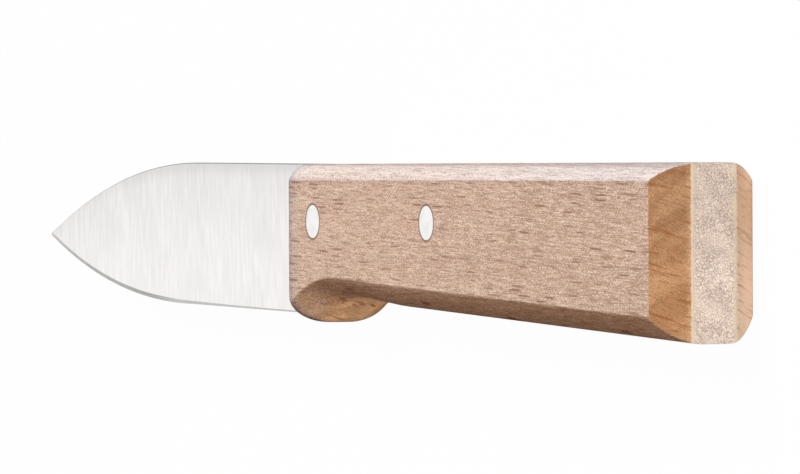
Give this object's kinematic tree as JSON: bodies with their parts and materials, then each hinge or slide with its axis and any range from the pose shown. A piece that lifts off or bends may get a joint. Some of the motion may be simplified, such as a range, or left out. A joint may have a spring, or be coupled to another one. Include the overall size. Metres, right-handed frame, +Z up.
{
  "type": "paring knife",
  "caption": "Small kitchen knife with a spear-shaped steel blade riveted into a one-piece beech handle with a finger guard, rounded edges and a chamfered butt.",
  "frame": {"origin": "centre of the knife's footprint box, on the surface that its right side lies on", "axes": "+X from the tip towards the butt, +Y from the cutting edge towards the back, +Z up out of the left side of the handle"},
  "size_m": [0.2078, 0.0206, 0.013],
  "materials": {
    "satin_steel": "satin stainless steel, finely brushed from back to edge, with a ground cutting bevel",
    "beech": "sanded and lightly oiled pinkish beech with short dark rays along the grain and sanded end grain on the butt",
    "rivet_aluminium": "bright aluminium ground flush with the wood"
  },
  "bodies": {
    "root": {"blade": "satin_steel", "handle": "beech", "front_rivet": "rivet_aluminium", "rear_rivet": "rivet_aluminium"}
  },
  "joints": []
}
